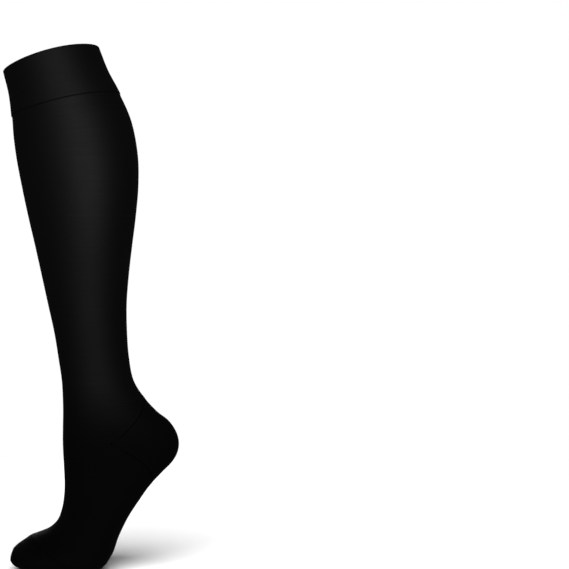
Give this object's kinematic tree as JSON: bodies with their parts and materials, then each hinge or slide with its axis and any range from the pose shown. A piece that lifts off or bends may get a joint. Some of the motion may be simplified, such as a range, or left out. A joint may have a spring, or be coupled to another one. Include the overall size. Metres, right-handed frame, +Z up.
{
  "type": "compression stocking",
  "caption": "Knee-high compression stocking in fine black knit, hollow and in its worn shape, with a doubled cuff, heel pocket and closed toe.",
  "frame": {"origin": "middle of the cuff's mouth, where the stocking is held on the leg below the knee", "axes": "+Z up, +X from the shin towards the calf and heel, so the toes point to -X; the XZ plane halves the stocking"},
  "size_m": [0.1792, 0.1114, 0.5374],
  "materials": {
    "fine_knit": "black polyamide and elastane, fine circular knit with a soft dull sheen",
    "cuff_knit": "the same yarns knitted double, a little duller"
  },
  "bodies": {
    "root": {"cuff": "cuff_knit", "leg": "fine_knit", "heel": "fine_knit", "foot": "fine_knit", "toe": "fine_knit"}
  },
  "joints": []
}
